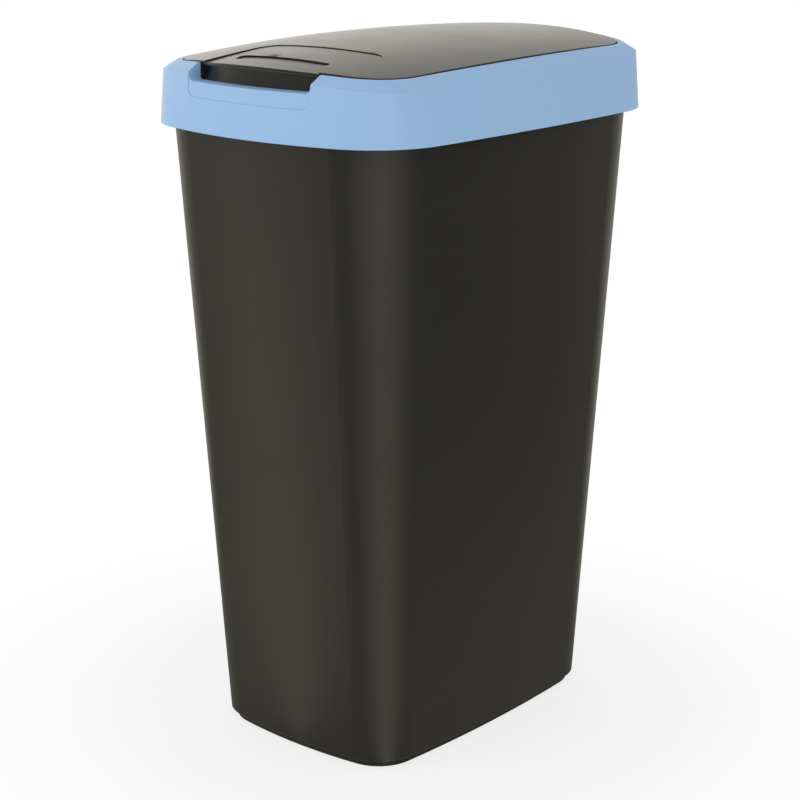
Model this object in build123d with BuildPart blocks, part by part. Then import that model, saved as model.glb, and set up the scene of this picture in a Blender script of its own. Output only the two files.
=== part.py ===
from build123d import *
from math import asin, cos, degrees, hypot, radians, sin, sqrt
import os

# Kitchen recycling bin: a tapered container, a lift-off collar and a hinged lid
# Millimetres, +Z up, with the origin in the middle of the base, on the floor
# The narrow front with the finger notch faces -Y

# Container, measured at the foot of its wall and at the height of the collar's lower edge
wall = 2.5
plinth_height = 6.3
plinth_inset = 5.2
plinth_wall = 4.0
floor_thickness = 3.0
foot_width = 212.3
foot_depth = 303.3
foot_front_bow = 11.1
foot_side_bow = 7.8
foot_corner = 40.4
foot_bevel = 1.2
waist_height = 535.9
waist_width = 271.8
waist_depth = 385.1
waist_front_bow = 28.8
waist_side_bow = 14.6
waist_corner = 68.2
rim_height = 560.0
rim_bead = 1.0
rim_bead_height = 5.0
cavity_floor_radius = 8.0

# Collar: a flared skirt, a sloped shoulder and a throat that hides the edge of the bag
skirt_bottom = 535.9
skirt_width = 288.7
skirt_depth = 402.0
skirt_front_bow = 32.1
skirt_side_bow = 9.0
skirt_corner = 67.7
skirt_wall = 2.5
crease_height = 584.2
crease_flare = 4.4
crease_corner = 57.5
collar_crown_across = 960.0
collar_crown_along = 2640.0
collar_crown_y = 37.0
collar_crown_top = 600.1
shoulder_run = 10.2
shoulder_drop = 5.4
opening_width = 254.0
opening_depth = 368.8
opening_front_bow = 31.0
opening_side_bow = 12.9
opening_corner = 50.1
throat_wall = 2.4
throat_bottom = 549.0
lip_radius = 0.9
seat_rib_thickness = 2.0
seat_rib_spacing = 46.0
seat_ribs_along = 7
seat_ribs_across = 4
corner_rib_angle = 55.0

# Finger notch in the front of the collar, and the shallow panel below it
notch_half_width = 66.7
notch_floor = 575.6
notch_corner = 8.0
notch_inner_corner = 1.2
notch_outer_margin = 1.0
notch_inner_reach = 14.0
panel_bottom = 563.3
panel_depth = 0.35

# Ledge inside the collar that the closed lid rests on
ledge_top = 574.6
ledge_reach = 7.0
ledge_thickness = 2.5

# Lid: a crowned skin with a flange under its edge
lid_gap = 1.2
lid_skin = 2.4
lid_flange = 2.2
lid_crown_across = 774.6
lid_crown_along = 2183.0
lid_crown_y = 29.1
lid_crown_top = 602.6
lid_edge_radius = 0.8
lid_rib_thickness = 1.8
lid_rib_depth = 6.0
lid_rib_spacing = 56.0
lid_ribs_across = 5
lid_ribs_along = 3

# Thumb pad sunk in the front of the lid, with a finger recess in it
# The pad has a crown of its own, which sinks it deeper towards the front
pad_front_half_width = 62.0
pad_rear_half_width = 66.7
pad_rear = -96.5
pad_rear_bow = 1.0
pad_corner = 14.0
pad_crown_along = 1934.0
pad_crown_top = 602.42
pad_front_radius = 1.6
recess_rear = -145.0
recess_rear_half_width = 49.5
recess_front = -160.0
recess_front_half_width = 44.0
recess_front_bow = 3.0
recess_corner = 4.0
recess_depth = 1.2

# Apron: the thick front of the flange, hollowed under the lid's lip where it shows in the notch
apron_thickness = 7.0
apron_foot_depth = 0.5
apron_top_depth = 4.0
apron_hollow = 1.0
apron_hollow_height = 15.5

# Hinge: two studs on the lid in sockets in the collar
hinge_y = 127.0
hinge_below_skin = 5.0
stud_radius = 2.25
stud_clearance = 0.05
stud_engagement = 3.6
socket_end_clearance = 0.6
socket_wall = 3.4
stop_clearance = 0.6
lid_opening_angle = 100.0

# Working allowances for cutting tools, larger than anything that they cut
reach = 40.0
crown_span = 190.0
crown_swing = 7.0


class BowedRectangle(BaseSketchObject):
    """A rectangle whose four sides bow outwards and whose corners are round."""

    def __init__(self, width, depth, front_bow, side_bow, corner, mode=Mode.ADD):
        front_radius = (width**2 / 4 + front_bow**2) / (2 * front_bow)
        side_radius = (depth**2 / 4 + side_bow**2) / (2 * side_bow)
        front_y = front_radius - depth / 2
        side_x = width / 2 - side_radius
        # The corner's centre is one corner radius inside both bows
        # f and s are the corner's ends on the front and on the side, c is its middle
        span = hypot(side_x, front_y)
        a = front_radius - corner
        b = side_radius - corner
        along = (a**2 - b**2 + span**2) / (2 * span)
        across = sqrt(a**2 - along**2)
        u = Vector(side_x, -front_y) / span
        centre = Vector(0, front_y) + u * along + Vector(-u.Y, u.X) * across
        to_front = (centre - Vector(0, front_y)).normalized()
        to_side = (centre - Vector(side_x, 0)).normalized()
        f = Vector(0, front_y) + to_front * front_radius
        s = Vector(side_x, 0) + to_side * side_radius
        c = centre + (to_front + to_side).normalized() * corner
        with BuildSketch() as outline:
            with BuildLine():
                ThreePointArc((-f.X, f.Y), (0, -depth / 2), (f.X, f.Y))
                ThreePointArc((f.X, f.Y), (c.X, c.Y), (s.X, s.Y))
                ThreePointArc((s.X, s.Y), (width / 2, 0), (s.X, -s.Y))
                ThreePointArc((s.X, -s.Y), (c.X, -c.Y), (f.X, -f.Y))
                ThreePointArc((f.X, -f.Y), (0, depth / 2), (-f.X, -f.Y))
                ThreePointArc((-f.X, -f.Y), (-c.X, -c.Y), (-s.X, -s.Y))
                ThreePointArc((-s.X, -s.Y), (-width / 2, 0), (-s.X, s.Y))
                ThreePointArc((-s.X, s.Y), (-c.X, c.Y), (-f.X, f.Y))
            make_face()
        super().__init__(obj=outline.sketch, rotation=0, align=None, mode=mode)


class CrownBlock(BasePartObject):
    """Everything under a surface that is crowned both across and along the bin."""

    def __init__(self, across, along, apex_y, top, sink=0.0, mode=Mode.ADD):
        radius_across = across - sink
        radius_along = along - sink
        sag = radius_across - sqrt(radius_across**2 - crown_span**2)
        turn = radians(crown_swing)
        start = Plane(
            origin=(0, apex_y, top - along),
            x_dir=(1, 0, 0),
            z_dir=(0, -cos(turn), -sin(turn)),
        )
        edge = radius_along - sag
        deep = radius_along - 2 * reach
        with BuildPart() as block:
            with BuildSketch(start):
                with BuildLine():
                    ThreePointArc((-crown_span, edge), (0, radius_along), (crown_span, edge))
                    Polyline((crown_span, edge), (crown_span, deep), (-crown_span, deep), (-crown_span, edge))
                make_face()
            revolve(axis=Axis((0, apex_y, top - along), (-1, 0, 0)), revolution_arc=2 * crown_swing)
        super().__init__(part=block.part, rotation=(0, 0, 0), align=None, mode=mode)


def crown_height(across, along, apex_y, top, x, y):
    """Height of a crowned surface over one point of the plan."""
    radius = along - across + sqrt(across**2 - x**2)
    return top - along + sqrt(radius**2 - (y - apex_y) ** 2)


def opening_outline(grow=0.0):
    """Sizes of the collar's opening, or of a line a set distance outside it."""
    return (
        opening_width + 2 * grow,
        opening_depth + 2 * grow,
        opening_front_bow,
        opening_side_bow,
        opening_corner + grow,
    )


def container_outline(height, grow=0.0):
    """Sizes of the container's wall at a height, which run straight from the foot to the rim."""
    share = (height - plinth_height) / (waist_height - plinth_height)
    return (
        foot_width + (waist_width - foot_width) * share + 2 * grow,
        foot_depth + (waist_depth - foot_depth) * share + 2 * grow,
        foot_front_bow + (waist_front_bow - foot_front_bow) * share,
        foot_side_bow + (waist_side_bow - foot_side_bow) * share,
        foot_corner + (waist_corner - foot_corner) * share + grow,
    )


def skirt_outline(height, grow=0.0):
    """Sizes of the collar's flared skirt at a height."""
    share = (height - skirt_bottom) / (crease_height - skirt_bottom)
    return (
        skirt_width - 2 * crease_flare * share + 2 * grow,
        skirt_depth - 2 * crease_flare * share + 2 * grow,
        skirt_front_bow,
        skirt_side_bow,
        skirt_corner + (crease_corner - skirt_corner) * share + grow,
    )


class UprightSlot(BaseSketchObject):
    """A tall slot with round lower corners, open at its top."""

    def __init__(self, half_width, bottom, top, corner, mode=Mode.ADD):
        with BuildSketch() as slot:
            with BuildLine():
                FilletPolyline(
                    (-half_width, top),
                    (-half_width, bottom),
                    (half_width, bottom),
                    (half_width, top),
                    radius=corner,
                )
                Line((half_width, top), (-half_width, top))
            make_face()
        super().__init__(obj=slot.sketch, rotation=0, align=None, mode=mode)


def lid_crown(sink=0.0):
    """Sizes of the lid's crowned top, or of a surface a set depth under it."""
    return (lid_crown_across, lid_crown_along, lid_crown_y, lid_crown_top, sink)


def collar_crown(sink=0.0):
    """Sizes of the crown that the collar's shoulder runs up to."""
    return (collar_crown_across, collar_crown_along, collar_crown_y, collar_crown_top, sink)


def pad_crown(sink=0.0):
    """Sizes of the sunken pad's crown, or of a surface a set depth under it."""
    return (lid_crown_across, pad_crown_along, lid_crown_y, pad_crown_top, sink)


def opening_half_width(y):
    """Half the width of the collar's opening at a distance behind the middle."""
    radius = (opening_depth**2 / 4 + opening_side_bow**2) / (2 * opening_side_bow)
    return opening_width / 2 - radius + sqrt(radius**2 - y**2)


# Places that follow from the sizes above
front_face = Plane.XZ.offset(opening_depth / 2 - reach)
front_cut = skirt_depth / 2 - opening_depth / 2 + 2 * reach
socket_mouth = opening_half_width(hinge_y)
lid_edge_height = crown_height(*lid_crown()[:4], socket_mouth - lid_gap, hinge_y)
hinge_z = lid_edge_height - hinge_below_skin
lid_outline = opening_outline(-lid_gap)
opening_angle = radians(lid_opening_angle)
# The open lid's flange comes to rest against the rear ends of the ledge
flange_drop = ledge_top - hinge_z
flange_along = (flange_drop * (cos(opening_angle) - 1) + ledge_thickness) / sin(opening_angle)
stop_y = hinge_y + flange_along * cos(opening_angle) + flange_drop * sin(opening_angle) - stop_clearance


def collar_form(inset):
    """The outside of the collar, or the same form drawn in by a wall."""
    with BuildPart() as form:
        with BuildSketch(Plane.XY.offset(skirt_bottom)):
            BowedRectangle(*skirt_outline(skirt_bottom, -inset))
        with BuildSketch(Plane.XY.offset(collar_crown_top)):
            BowedRectangle(*skirt_outline(collar_crown_top, -inset))
        loft(ruled=True)
        CrownBlock(*collar_crown(inset), mode=Mode.INTERSECT)
        crown = form.faces().sort_by(Axis.Z)[-1]
        chamfer(crown.edges(), length=shoulder_run, length2=shoulder_drop, reference=crown)
    return form.part


def collar_channel(inner_form):
    """The space between the skirt and the throat, which drops over the container's rim."""
    with BuildPart() as channel:
        add(inner_form)
        with BuildSketch(Plane.XY.offset(throat_bottom)):
            BowedRectangle(*opening_outline(throat_wall))
        extrude(amount=collar_crown_top, mode=Mode.SUBTRACT)
    return channel.part


def collar_seat_ribs(channel):
    """Thin upright ribs in the channel, whose lower edges stand on the container's rim."""
    rib_height = collar_crown_top - rim_height
    upright = (Align.CENTER, Align.CENTER, Align.MIN)
    with BuildPart() as ribs:
        with Locations((0, 0, rim_height)):
            with GridLocations(0, seat_rib_spacing, 1, seat_ribs_along):
                Box(skirt_width, seat_rib_thickness, rib_height, align=upright)
            with GridLocations(seat_rib_spacing, 0, seat_ribs_across, 1):
                Box(seat_rib_thickness, skirt_depth, rib_height, align=upright)
        for angle in (-corner_rib_angle, corner_rib_angle):
            with Locations(Location((0, 0, rim_height), (0, 0, angle))):
                Box(skirt_depth * 2, seat_rib_thickness, rib_height, align=upright)
        add(channel, mode=Mode.INTERSECT)
    return ribs.part


def notch_slot(grow, top):
    """The finger notch, or a form round it, whose lower corners are rounder on the outside."""
    half_width = notch_half_width + grow
    bottom = notch_floor - grow
    with BuildPart() as slot:
        with BuildSketch(Plane.XZ.offset(opening_depth / 2 - notch_inner_reach)):
            UprightSlot(half_width, bottom, top, notch_inner_corner + grow)
        with BuildSketch(Plane.XZ.offset(skirt_depth / 2 + notch_outer_margin)):
            UprightSlot(half_width, bottom, top, notch_corner + grow)
        loft(ruled=True)
    return slot.part


def notch_housing(channel):
    """Solid stock round the finger notch, which closes the channel off from it."""
    with BuildPart() as housing:
        add(notch_slot(skirt_wall, collar_crown_top))
        add(channel, mode=Mode.INTERSECT)
    return housing.part


def panel_skin(outer_form):
    """A thin layer of the collar's front, under the notch and as wide as it."""
    with BuildPart() as skin:
        with BuildSketch(front_face):
            UprightSlot(notch_half_width, panel_bottom, collar_crown_top, notch_corner)
        extrude(amount=front_cut)
        add(outer_form, mode=Mode.INTERSECT)
        add(collar_form(panel_depth), mode=Mode.SUBTRACT)
    return skin.part


def socket_bosses(channel):
    """Blocks under the shoulder that hold the hinge sockets."""
    depth = stud_engagement + socket_end_clearance + throat_wall
    side = 2 * (stud_radius + socket_wall)
    bottom = hinge_z - side / 2
    with BuildPart() as bosses:
        for hand in (-1, 1):
            with Locations((hand * (socket_mouth + depth / 2), hinge_y, bottom)):
                Box(depth, side, reach, align=(Align.CENTER, Align.CENTER, Align.MIN))
        add(channel, mode=Mode.INTERSECT)
    return bosses.part


def lid_hollow():
    """The space under the lid's skin and inside its flange."""
    with BuildPart() as hollow:
        with BuildSketch(Plane.XY.offset(ledge_top)):
            BowedRectangle(*opening_outline(-lid_gap - lid_flange))
        extrude(amount=lid_crown_top - ledge_top)
        CrownBlock(*lid_crown(lid_skin), mode=Mode.INTERSECT)
    return hollow.part


def lid_ribs(hollow):
    """A grid of shallow ribs under the skin."""
    upright = (Align.CENTER, Align.CENTER, Align.MIN)
    height = lid_crown_top - ledge_top
    with BuildPart() as ribs:
        with Locations((0, 0, ledge_top)):
            with GridLocations(0, lid_rib_spacing, 1, lid_ribs_across):
                Box(opening_width, lid_rib_thickness, height, align=upright)
            with GridLocations(lid_rib_spacing, 0, lid_ribs_along, 1):
                Box(lid_rib_thickness, opening_depth, height, align=upright)
        add(hollow, mode=Mode.INTERSECT)
        CrownBlock(*lid_crown(lid_skin + lid_rib_depth), mode=Mode.SUBTRACT)
    return ribs.part


class PadOutline(BaseSketchObject):
    """Plan of the sunken thumb pad, which narrows to the front edge of the lid and is open there."""

    def __init__(self, grow=0.0, mode=Mode.ADD):
        taper = (pad_rear_half_width - pad_front_half_width) / (pad_rear + opening_depth / 2)
        near = pad_rear_half_width + grow
        far = pad_front_half_width - taper * reach + grow
        rear = pad_rear + grow
        front = -opening_depth / 2 - reach
        with BuildSketch() as outline:
            with BuildLine():
                Polyline((-near, rear), (-far, front), (far, front), (near, rear))
                ThreePointArc((near, rear), (0, rear - pad_rear_bow), (-near, rear))
            make_face()
            fillet(outline.vertices().group_by(Axis.Y)[-1], radius=pad_corner + grow)
        super().__init__(obj=outline.sketch, rotation=0, align=None, mode=mode)


class RecessOutline(BaseSketchObject):
    """Plan of the finger recess, which narrows to a front edge that bows forwards."""

    def __init__(self, grow=0.0, mode=Mode.ADD):
        near = recess_rear_half_width + grow
        far = recess_front_half_width + grow
        rear = recess_rear + grow
        front = recess_front - grow
        with BuildSketch() as outline:
            with BuildLine():
                Polyline((-far, front), (-near, rear), (near, rear), (far, front))
                ThreePointArc((far, front), (0, front - recess_front_bow), (-far, front))
            make_face()
            fillet(outline.vertices(), radius=recess_corner + grow)
        super().__init__(obj=outline.sketch, rotation=0, align=None, mode=mode)


def pad_backing(hollow):
    """Extra thickness under the sunken pad, so that the skin stays whole there."""
    with BuildPart() as backing:
        with BuildSketch(Plane.XY.offset(ledge_top)):
            PadOutline(lid_skin)
        extrude(amount=lid_crown_top - ledge_top)
        add(hollow, mode=Mode.INTERSECT)
        CrownBlock(*pad_crown(lid_skin), mode=Mode.SUBTRACT)
    return backing.part


def recess_backing(hollow):
    """Extra thickness round the finger recess."""
    with BuildPart() as backing:
        with BuildSketch(Plane.XY.offset(ledge_top)):
            RecessOutline(lid_skin)
        extrude(amount=lid_crown_top - ledge_top)
        add(hollow, mode=Mode.INTERSECT)
        CrownBlock(*pad_crown(lid_skin + recess_depth), mode=Mode.SUBTRACT)
    return backing.part


def apron_stock(hollow):
    """Thick front of the flange, a little wider than the hollow that shows in the notch."""
    half_width = notch_half_width + lid_gap + lid_flange
    with BuildPart() as stock:
        with BuildSketch(front_face):
            with Locations((0, ledge_top)):
                Rectangle(2 * half_width, reach, align=(Align.CENTER, Align.MIN))
        extrude(amount=front_cut)
        add(hollow, mode=Mode.INTERSECT)
        with BuildSketch(Plane.XY.offset(ledge_top)):
            BowedRectangle(*opening_outline(-lid_gap - apron_thickness))
        extrude(amount=reach, mode=Mode.SUBTRACT)
    return stock.part


def apron_groove():
    """The hollow in the apron, which follows the front's bow and ends under the lid's lip."""
    width, depth, bow = lid_outline[:3]
    bow_radius = (width**2 / 4 + bow**2) / (2 * bow)
    bow_centre = bow_radius - depth / 2
    half_turn = asin((notch_half_width + lid_gap) / bow_radius)
    foot = bow_radius - apron_foot_depth
    middle = bow_radius - (apron_foot_depth + apron_top_depth) / 2 - apron_hollow
    head = bow_radius - apron_top_depth
    outside = bow_radius + lid_gap
    top = ledge_top + apron_hollow_height
    start = Plane(
        origin=(0, bow_centre, 0),
        x_dir=(-sin(half_turn), -cos(half_turn), 0),
        z_dir=(-cos(half_turn), sin(half_turn), 0),
    )
    with BuildPart() as groove:
        with BuildSketch(start):
            with BuildLine():
                ThreePointArc((foot, ledge_top), (middle, (ledge_top + top) / 2), (head, top))
                Polyline(
                    (head, top),
                    (outside, top),
                    (outside, ledge_top - lid_gap),
                    (foot, ledge_top - lid_gap),
                    (foot, ledge_top),
                )
            make_face()
        revolve(axis=Axis((0, bow_centre, 0), (0, 0, 1)), revolution_arc=2 * degrees(half_turn))
        CrownBlock(*pad_crown(lid_skin), mode=Mode.INTERSECT)
    return groove.part


def cross_pins(radius, inner, outer):
    """Two round pins on the hinge axis, one on each side, between two distances from the middle."""
    with BuildPart() as pins:
        for hand in (-1, 1):
            with BuildSketch(Plane.YZ.offset(hand * inner)):
                with Locations((hinge_y, hinge_z)):
                    Circle(radius)
            extrude(amount=hand * (outer - inner))
    return pins.part


# Container
floor_top = plinth_height + floor_thickness
with BuildPart() as cavity:
    with BuildSketch(Plane.XY.offset(floor_top)):
        BowedRectangle(*container_outline(floor_top, -wall))
    with BuildSketch(Plane.XY.offset(rim_height)):
        BowedRectangle(*container_outline(rim_height, -wall))
    loft(ruled=True)
    fillet(cavity.faces().sort_by(Axis.Z)[0].edges(), radius=cavity_floor_radius)

with BuildPart() as bin_body:
    with BuildSketch(Plane.XY.offset(plinth_height)):
        BowedRectangle(*container_outline(plinth_height, -foot_bevel))
    with BuildSketch(Plane.XY.offset(plinth_height + foot_bevel)):
        BowedRectangle(*container_outline(plinth_height + foot_bevel))
    with BuildSketch(Plane.XY.offset(rim_height)):
        BowedRectangle(*container_outline(rim_height))
    loft(ruled=True)
    with BuildSketch(Plane.XY.offset(rim_height - rim_bead_height)):
        BowedRectangle(*container_outline(rim_height, rim_bead))
    extrude(amount=rim_bead_height)
    with BuildSketch(Plane.XY):
        BowedRectangle(*container_outline(plinth_height, -plinth_inset))
    extrude(amount=plinth_height)
    with BuildSketch(Plane.XY):
        BowedRectangle(*container_outline(plinth_height, -plinth_inset - plinth_wall))
    extrude(amount=plinth_height, mode=Mode.SUBTRACT)
    add(cavity.part, mode=Mode.SUBTRACT)

# Collar
outer_form = collar_form(0)
channel = collar_channel(collar_form(skirt_wall))

with BuildPart() as collar:
    add(outer_form)
    with BuildSketch(Plane.XY.offset(skirt_bottom)):
        BowedRectangle(*opening_outline())
    extrude(amount=collar_crown_top - skirt_bottom, mode=Mode.SUBTRACT)
    lip = collar.edges(Select.LAST).filter_by(lambda edge: edge.center().Z > crease_height)
    fillet(lip, radius=lip_radius)
    add(channel, mode=Mode.SUBTRACT)
    add(collar_seat_ribs(channel))
    add(notch_housing(channel))
    add(socket_bosses(channel))
    with BuildSketch(Plane.XY.offset(ledge_top - ledge_thickness)):
        BowedRectangle(*opening_outline(throat_wall / 2))
        BowedRectangle(*opening_outline(-ledge_reach), mode=Mode.SUBTRACT)
        with Locations((0, stop_y)):
            Rectangle(skirt_width, skirt_depth, align=(Align.CENTER, Align.MIN), mode=Mode.SUBTRACT)
    extrude(amount=ledge_thickness)
    with BuildSketch(Plane.XY.offset(ledge_top)):
        BowedRectangle(*opening_outline())
    extrude(amount=reach, mode=Mode.SUBTRACT)
    add(notch_slot(0, collar_crown_top + reach), mode=Mode.SUBTRACT)
    add(panel_skin(outer_form), mode=Mode.SUBTRACT)
    add(
        cross_pins(
            stud_radius + stud_clearance,
            socket_mouth - lid_gap,
            socket_mouth + stud_engagement + socket_end_clearance,
        ),
        mode=Mode.SUBTRACT,
    )

# Lid
hollow = lid_hollow()
with BuildPart() as pad_form:
    with BuildSketch(Plane.XY.offset(ledge_top)):
        BowedRectangle(*lid_outline)
    extrude(amount=lid_crown_top - ledge_top)
    CrownBlock(*pad_crown(), mode=Mode.INTERSECT)
    fillet(pad_form.faces().sort_by(Axis.Z)[-1].edges(), radius=pad_front_radius)

with BuildPart() as pad_cut:
    with BuildSketch(Plane.XY.offset(ledge_top)):
        PadOutline()
    extrude(amount=lid_crown_top - ledge_top + reach)
    add(pad_form.part, mode=Mode.SUBTRACT)

with BuildPart() as recess_cut:
    with BuildSketch(Plane.XY.offset(ledge_top)):
        RecessOutline()
    extrude(amount=lid_crown_top - ledge_top + reach)
    CrownBlock(*pad_crown(recess_depth), mode=Mode.SUBTRACT)

with BuildPart() as lid:
    with BuildSketch(Plane.XY.offset(ledge_top)):
        BowedRectangle(*lid_outline)
    extrude(amount=lid_crown_top - ledge_top)
    CrownBlock(*lid_crown(), mode=Mode.INTERSECT)
    fillet(lid.faces().sort_by(Axis.Z)[-1].edges(), radius=lid_edge_radius)
    add(pad_cut.part, mode=Mode.SUBTRACT)
    add(hollow, mode=Mode.SUBTRACT)
    add(lid_ribs(hollow))
    add(pad_backing(hollow))
    add(recess_backing(hollow))
    add(apron_stock(hollow))
    add(recess_cut.part, mode=Mode.SUBTRACT)
    add(apron_groove(), mode=Mode.SUBTRACT)
    add(
        cross_pins(
            stud_radius,
            socket_mouth - lid_gap - lid_flange / 2,
            socket_mouth + stud_engagement,
        )
    )

os.makedirs("parts", exist_ok=True)
bin_body.part.label = "bin_body"
collar.part.label = "collar"
lid.part.label = "lid"
export_step(bin_body.part, "parts/bin_body.step")
export_step(collar.part, "parts/collar.step")
export_step(lid.part, "parts/lid.step")
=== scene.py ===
from math import radians

import bpy
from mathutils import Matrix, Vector


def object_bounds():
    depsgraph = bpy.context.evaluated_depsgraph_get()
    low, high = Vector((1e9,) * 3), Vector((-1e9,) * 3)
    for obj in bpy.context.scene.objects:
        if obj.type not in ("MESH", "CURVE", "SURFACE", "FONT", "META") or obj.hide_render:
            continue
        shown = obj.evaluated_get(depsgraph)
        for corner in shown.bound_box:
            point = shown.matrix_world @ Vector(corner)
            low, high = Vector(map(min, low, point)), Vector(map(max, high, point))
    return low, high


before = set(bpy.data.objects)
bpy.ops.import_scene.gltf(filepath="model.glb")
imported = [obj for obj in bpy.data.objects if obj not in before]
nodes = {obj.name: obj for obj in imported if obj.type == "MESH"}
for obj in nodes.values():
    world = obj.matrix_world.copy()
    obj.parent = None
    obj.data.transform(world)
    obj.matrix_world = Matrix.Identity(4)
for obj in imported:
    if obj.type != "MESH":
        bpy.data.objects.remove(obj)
cad_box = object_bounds()

# Places and sizes are in metres, in the frame of the part
front_y = cad_box[0][1]
middle = (0.0, 0.0, 0.0)

# Camera, fitted to the outlines in the photograph
camera_place = (1.12879, -1.32166, 0.77665)
camera_turn = (74.063, 0.0, 40.662)
camera_lens = 91.515

# Detail of the moulded plastic: marks to a metre, the grain's height and the spread in gloss
flow_marks = 5.0
gloss_patches = 18.0
grain_marks = 1400.0
grain_height = 0.0002
gloss_spread = 0.03

# Floor, with the distance where its shadow has gone and the white mixed in at the bin
floor_size = 12.0
shadow_reach = 0.5
shadow_white = 0.75

# Levels of the light that the pieces get and, in reflections, of the room and its backdrop
plain_level = 0.92
room_level = 0.4
backdrop_level = 1.32

# Painted reflection: in reflections the floor glows, weaker from near the bin to farther out
near_reach = 0.2
far_reach = 1.2
near_painted_glow = 0.42
far_painted_glow = 0.12

lamp_aim = (0.0, 0.0, 0.4)


def add_node(tree, kind, settings=None, **inputs):
    """A new node with its settings and the values of its inputs."""
    node = tree.nodes.new("ShaderNode" + kind)
    for key, value in (settings or {}).items():
        setattr(node, key, value)
    for key, value in inputs.items():
        node.inputs[key.replace("_", " ")].default_value = value
    return node


def smooth_level(tree, value, start, end, low=0.0, high=1.0):
    """A level that goes smoothly from low to high while the value goes from start to end."""
    level = add_node(
        tree,
        "MapRange",
        {"interpolation_type": "SMOOTHSTEP"},
        From_Min=start,
        From_Max=end,
        To_Min=low,
        To_Max=high,
    )
    tree.links.new(value, level.inputs["Value"])
    return level.outputs["Result"]


def towards(tree, place, origin, aim, start, end, low, high):
    """A level that rises from low to high where the way from the origin turns to the aim."""
    apart = add_node(tree, "VectorMath", {"operation": "SUBTRACT"})
    apart.inputs[1].default_value = origin
    tree.links.new(place, apart.inputs[0])
    heading = add_node(tree, "VectorMath", {"operation": "NORMALIZE"})
    tree.links.new(apart.outputs["Vector"], heading.inputs[0])
    turn = add_node(tree, "VectorMath", {"operation": "DOT_PRODUCT"})
    turn.inputs[1].default_value = aim
    tree.links.new(heading.outputs["Vector"], turn.inputs[0])
    return smooth_level(tree, turn.outputs["Value"], start, end, low, high)


def larger(tree, first, second):
    """The larger of two values."""
    most = add_node(tree, "Math", {"operation": "MAXIMUM"})
    tree.links.new(first, most.inputs[0])
    tree.links.new(second, most.inputs[1])
    return most.outputs["Value"]


def mixed(tree, share, first, second):
    """A shader that goes from the first to the second while the share goes from 0 to 1."""
    mix = add_node(tree, "MixShader")
    tree.links.new(share, mix.inputs["Fac"])
    tree.links.new(first, mix.inputs[1])
    tree.links.new(second, mix.inputs[2])
    return mix.outputs["Shader"]


def plastic(name, dark, light, rough, specular, grain, edge_radius):
    """Moulded plastic: slight flow marks in the colour, a fine grain and uneven gloss."""
    mat = bpy.data.materials.new(name)
    mat.use_nodes = True
    tree = mat.node_tree
    link = tree.links.new
    shader = tree.nodes["Principled BSDF"]
    shader.inputs["Specular IOR Level"].default_value = specular
    place = add_node(tree, "TexCoord").outputs["Object"]

    flow = add_node(tree, "TexNoise", Scale=flow_marks, Detail=4.0)
    link(place, flow.inputs["Vector"])
    ramp = add_node(tree, "ValToRGB")
    for stop, position, colour in zip(ramp.color_ramp.elements, (0.3, 0.7), (dark, light)):
        stop.position = position
        stop.color = (*colour, 1)
    link(flow.outputs["Fac"], ramp.inputs["Fac"])
    link(ramp.outputs["Color"], shader.inputs["Base Color"])

    patches = add_node(tree, "TexNoise", Scale=gloss_patches)
    link(place, patches.inputs["Vector"])
    gloss = add_node(tree, "MapRange", To_Min=rough - gloss_spread, To_Max=rough + gloss_spread)
    link(patches.outputs["Fac"], gloss.inputs["Value"])
    link(gloss.outputs["Result"], shader.inputs["Roughness"])

    fine = add_node(tree, "TexNoise", Scale=grain_marks, Detail=2.0)
    link(place, fine.inputs["Vector"])
    edge = add_node(tree, "Bevel", {"samples": 4}, Radius=edge_radius)
    bump = add_node(tree, "Bump", Strength=grain, Distance=grain_height)
    link(fine.outputs["Fac"], bump.inputs["Height"])
    link(edge.outputs["Normal"], bump.inputs["Normal"])
    link(bump.outputs["Normal"], shader.inputs["Normal"])
    return mat


def floor_painted_reflections(tree, place, distance):
    """The floor's glow in reflections only: a painted reflection that paints sheen bands on the
    bin from the front left, from behind and from the right.
    """
    near = smooth_level(tree, distance, near_reach, far_reach, near_painted_glow, far_painted_glow)
    front_left = towards(
        tree,
        place,
        origin=(0.0, -0.165, 0.0),
        aim=(-0.64, -0.77, 0.0),
        start=0.84,
        end=1.0,
        low=0.0,
        high=1.36,
    )
    behind = towards(
        tree, place, origin=middle, aim=(-0.63, 0.777, 0.0), start=0.3, end=0.8, low=0.0, high=1.1
    )
    # This one paints the bright upright highlight band on the bin's near corner
    right = towards(
        tree,
        place,
        origin=(0.09, -0.13, 0.0),
        aim=(0.83, -0.557, 0.0),
        start=0.7,
        end=0.98,
        low=0.0,
        high=1.7,
    )
    # The floor glows here only for reflections: this glow is painted reflection, not lamplight
    light = add_node(tree, "Emission", Color=(1.0, 0.95, 0.84, 1))
    level = larger(tree, larger(tree, front_left, behind), larger(tree, right, near))
    tree.links.new(level, light.inputs["Strength"])
    return light.outputs["Emission"]


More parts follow.
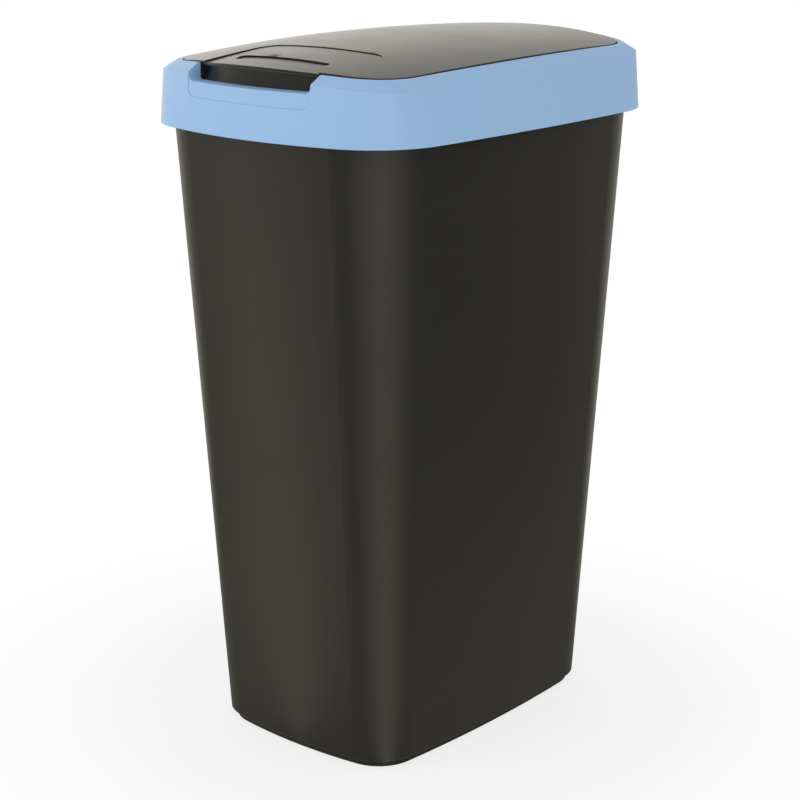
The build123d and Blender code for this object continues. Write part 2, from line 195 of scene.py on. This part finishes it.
def floor_material():
    """A pale floor with the bin's shadow near it, white to the camera farther out."""
    mat = bpy.data.materials.new("floor_pale")
    mat.use_nodes = True
    tree = mat.node_tree
    link = tree.links.new
    paint = tree.nodes["Principled BSDF"]
    paint.inputs["Base Color"].default_value = (0.86, 0.86, 0.86, 1)
    paint.inputs["Roughness"].default_value = 0.9
    paint.inputs["Specular IOR Level"].default_value = 0.1
    place = add_node(tree, "TexCoord").outputs["Object"]
    path = add_node(tree, "LightPath").outputs
    span = add_node(tree, "VectorMath", {"operation": "LENGTH"})
    link(place, span.inputs[0])
    distance = span.outputs["Value"]

    share = add_node(tree, "Math", {"operation": "MULTIPLY"})
    link(smooth_level(tree, distance, -front_y, shadow_reach, low=shadow_white), share.inputs[0])
    link(path["Is Camera Ray"], share.inputs[1])
    white = add_node(tree, "Emission", Strength=1.0)
    seen = mixed(tree, share.outputs["Value"], paint.outputs["BSDF"], white.outputs["Emission"])
    # Reflections see the floor's painted glow in place of its lit paint
    surface = mixed(tree, path["Is Glossy Ray"], seen, floor_painted_reflections(tree, place, distance))
    link(surface, tree.nodes["Material Output"].inputs["Surface"])
    return mat


def studio_world():
    """White to the camera, a plain level for the light it gives, and a room in reflections."""
    world = bpy.data.worlds.new("studio")
    world.use_nodes = True
    tree = world.node_tree
    tree.nodes.clear()
    path = add_node(tree, "LightPath").outputs
    place = add_node(tree, "TexCoord").outputs["Generated"]
    white = add_node(tree, "Background", Color=(1, 1, 1, 1), Strength=1.0)
    given = add_node(tree, "Background", Color=(1.0, 0.995, 0.98, 1), Strength=plain_level)
    # The room has its white backdrop behind the bin and is darker on the other side
    room = add_node(tree, "Background", Color=(1.0, 0.97, 0.90, 1))
    level = towards(
        tree,
        place,
        origin=middle,
        aim=(-0.95, 0.31, -0.25),
        start=0.45,
        end=0.95,
        low=room_level,
        high=backdrop_level,
    )
    tree.links.new(level, room.inputs["Strength"])
    lit = mixed(
        tree, path["Is Glossy Ray"], given.outputs["Background"], room.outputs["Background"]
    )
    surface = mixed(tree, path["Is Camera Ray"], lit, white.outputs["Background"])
    out = add_node(tree, "OutputWorld")
    tree.links.new(surface, out.inputs["Surface"])
    return world


def softbox(name, place, size, power, in_reflections):
    """A rectangular lamp that faces the upper part of the bin."""
    light = bpy.data.lights.new(name, "AREA")
    light.shape = "RECTANGLE"
    light.size, light.size_y = size
    light.energy = power
    lamp = bpy.data.objects.new(name, light)
    bpy.context.scene.collection.objects.link(lamp)
    lamp.location = place
    facing = Vector(lamp_aim) - Vector(place)
    lamp.rotation_euler = facing.to_track_quat("-Z", "Y").to_euler()
    lamp.visible_glossy = in_reflections


# The moulded pieces keep their CAD shape and get their plastics here
plastics = {
    "bin_body": plastic(
        "container_black",
        dark=(0.0158, 0.0153, 0.0118),
        light=(0.0180, 0.0174, 0.0138),
        rough=0.42,
        specular=0.30,
        grain=0.10,
        edge_radius=0.0006,
    ),
    "collar": plastic(
        "collar_blue",
        dark=(0.272, 0.450, 0.692),
        light=(0.286, 0.466, 0.710),
        rough=0.42,
        specular=0.45,
        grain=0.06,
        edge_radius=0.0006,
    ),
    "lid": plastic(
        "lid_black",
        dark=(0.0130, 0.0124, 0.0102),
        light=(0.0150, 0.0144, 0.0120),
        rough=0.26,
        specular=0.50,
        grain=0.04,
        edge_radius=0.0005,
    ),
}
for node_name, mat in plastics.items():
    nodes[node_name].data.materials.clear()
    nodes[node_name].data.materials.append(mat)

# Floor, world and lamps
bpy.ops.mesh.primitive_plane_add(size=floor_size, location=middle)
floor = bpy.context.object
floor.name = "floor"
floor.data.materials.append(floor_material())

bpy.context.scene.world = studio_world()
softbox("key", place=(-1.7, -2.5, 0.8), size=(1.4, 1.4), power=20, in_reflections=False)
softbox("strip", place=(2.55, -1.59, 0.55), size=(0.4, 1.5), power=8, in_reflections=True)

# Camera
camera = bpy.data.cameras.new("camera")
camera.sensor_width = 36.0
camera.lens = camera_lens
eye = bpy.data.objects.new("camera", camera)
bpy.context.scene.collection.objects.link(eye)
eye.location = camera_place
eye.rotation_euler = [radians(angle) for angle in camera_turn]
bpy.context.scene.camera = eye
bpy.context.scene.view_settings.view_transform = "Standard"
